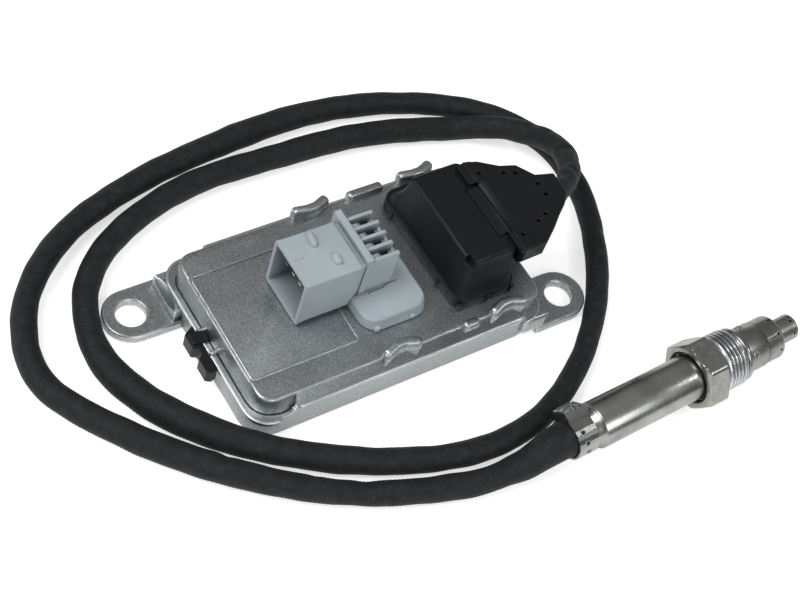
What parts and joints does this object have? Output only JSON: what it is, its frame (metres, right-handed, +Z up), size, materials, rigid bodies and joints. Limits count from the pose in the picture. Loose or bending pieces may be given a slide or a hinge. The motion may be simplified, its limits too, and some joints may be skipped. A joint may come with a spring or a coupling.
{
  "type": "nitrogen oxide sensor",
  "caption": "Nitrogen oxide sensor: a cast aluminium control box with a grey supply connector and a black plug, a long sleeved cable, and a threaded exhaust probe.",
  "frame": {"origin": "midpoint between the two bolt holes of the control box, on the plane of its base", "axes": "+X along the box towards the plug side, +Y across it towards the back, +Z up from the base"},
  "size_m": [0.2398, 0.166, 0.0405],
  "materials": {
    "cast_aluminium": "as cast, fine grained",
    "black_plastic": "moulded",
    "grey_plastic": "moulded",
    "pale_plastic": "moulded",
    "rubber": "matt",
    "board_green": "lacquered",
    "tinned_copper": "tinned",
    "bright_steel": "turned and polished",
    "plated_steel": "plated",
    "worn_steel": "dull, drawn",
    "ceramic": null,
    "powder": null,
    "cable_sleeve": "woven sleeve"
  },
  "bodies": {
    "body": {"housing_tray": "cast_aluminium", "housing_seal": "rubber", "housing_cover": "cast_aluminium", "retaining_clip": "black_plastic", "circuit_board": "board_green", "control_chip": "black_plastic", "heater_driver_chip": "black_plastic", "amplifier_chip": "black_plastic", "filter_capacitor_1": "bright_steel", "filter_capacitor_2": "bright_steel", "supply_connector": "grey_plastic", "supply_connector_seal": "rubber", "sensor_header": "black_plastic", "sensor_header_seal": "rubber", "supply_pin_1": "tinned_copper", "supply_pin_2": "tinned_copper", "supply_pin_3": "tinned_copper", "supply_pin_4": "tinned_copper", "header_terminal_1": "tinned_copper", "header_terminal_2": "tinned_copper", "header_terminal_3": "tinned_copper", "header_terminal_4": "tinned_copper", "header_terminal_5": "tinned_copper", "header_terminal_6": "tinned_copper", "header_terminal_7": "tinned_copper", "header_terminal_8": "tinned_copper", "plug_shell": "black_plastic", "cable_grommet": "rubber", "cable": "cable_sleeve", "cable_clamp": "bright_steel", "probe_tube": "bright_steel", "probe_grommet": "rubber", "probe_body": "bright_steel", "outer_shield": "worn_steel", "inner_shield": "worn_steel", "sensing_element": "ceramic", "front_insulator": "ceramic", "seal_packing": "powder", "rear_insulator": "ceramic", "contact_holder": "pale_plastic"},
    "nut": {"union_nut": "plated_steel"}
  },
  "joints": [
    {"name": "nut_spin", "type": "hinge", "parent": "body", "child": "nut", "pos_m": [0.08914, -0.07337, 0.01115], "axis": [0.9988, 0.0296, 0.0384], "continuous": true}
  ]
}
